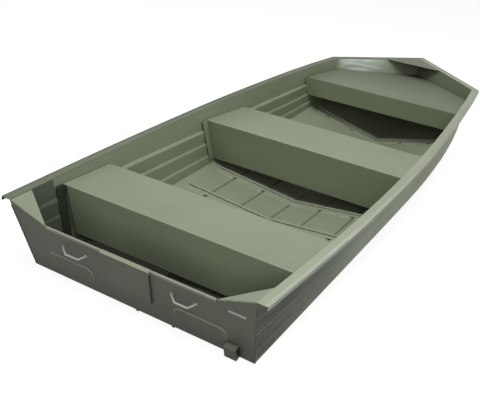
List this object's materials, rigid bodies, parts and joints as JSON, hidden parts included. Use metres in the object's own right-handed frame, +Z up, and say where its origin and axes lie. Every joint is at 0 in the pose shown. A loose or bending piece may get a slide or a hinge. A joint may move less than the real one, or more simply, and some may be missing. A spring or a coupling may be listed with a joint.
{
  "type": "jon boat",
  "caption": "Open flat-bottomed sheet-metal jon boat with box benches, floor ribs, flanged gunwales, a shallow pointed bow and a transom with motor pad and lifting handles.",
  "frame": {"origin": "centre of the bounding box, at the ground under the keel", "axes": "+X toward the bow, +Y to port, +Z up"},
  "size_m": [4.2768, 1.628, 0.654],
  "materials": {
    "hull_paint": "satin olive green",
    "rail_paint": "satin olive green",
    "bench_paint": "satin olive green",
    "floor_paint": "satin olive green",
    "worn_metal": "worn paint over metal",
    "bare_plate": "plain, no lettering",
    "board_wood": "painted board"
  },
  "bodies": {
    "root": {"aft_bench": "bench_paint", "aft_bench_end_port": "bench_paint", "aft_bench_end_starboard": "bench_paint", "blank_plate": "bare_plate", "bottom_sheet": "hull_paint", "bow_bench": "bench_paint", "bow_bench_end_port": "bench_paint", "bow_bench_end_starboard": "bench_paint", "bow_eye": "worn_metal", "bow_panel_port": "hull_paint", "bow_panel_starboard": "hull_paint", "bow_rail_port": "rail_paint", "bow_rail_starboard": "rail_paint", "breasthook": "rail_paint", "floor_rib_1": "floor_paint", "floor_rib_2": "floor_paint", "floor_rib_3": "floor_paint", "floor_rib_4": "floor_paint", "floor_rib_5": "floor_paint", "floor_rib_6": "floor_paint", "floor_rib_7": "floor_paint", "floor_rib_8": "floor_paint", "gunwale_rail_port": "rail_paint", "gunwale_rail_starboard": "rail_paint", "lift_handle_port": "worn_metal", "lift_handle_starboard": "worn_metal", "mid_bench": "bench_paint", "mid_bench_end_port": "bench_paint", "mid_bench_end_starboard": "bench_paint", "motor_board": "board_wood", "motor_pad": "hull_paint", "pad_cap": "hull_paint", "quarter_knee_port": "hull_paint", "quarter_knee_starboard": "hull_paint", "side_sheet_port": "hull_paint", "side_sheet_starboard": "hull_paint", "sounder_bracket": "hull_paint", "strake_inner_port": "hull_paint", "strake_inner_starboard": "hull_paint", "strake_keel": "hull_paint", "strake_outer_port": "hull_paint", "strake_outer_starboard": "hull_paint", "transom_brace": "floor_paint", "transom_lip_port": "hull_paint", "transom_lip_starboard": "hull_paint", "transom_sheet": "hull_paint"}
  },
  "joints": []
}
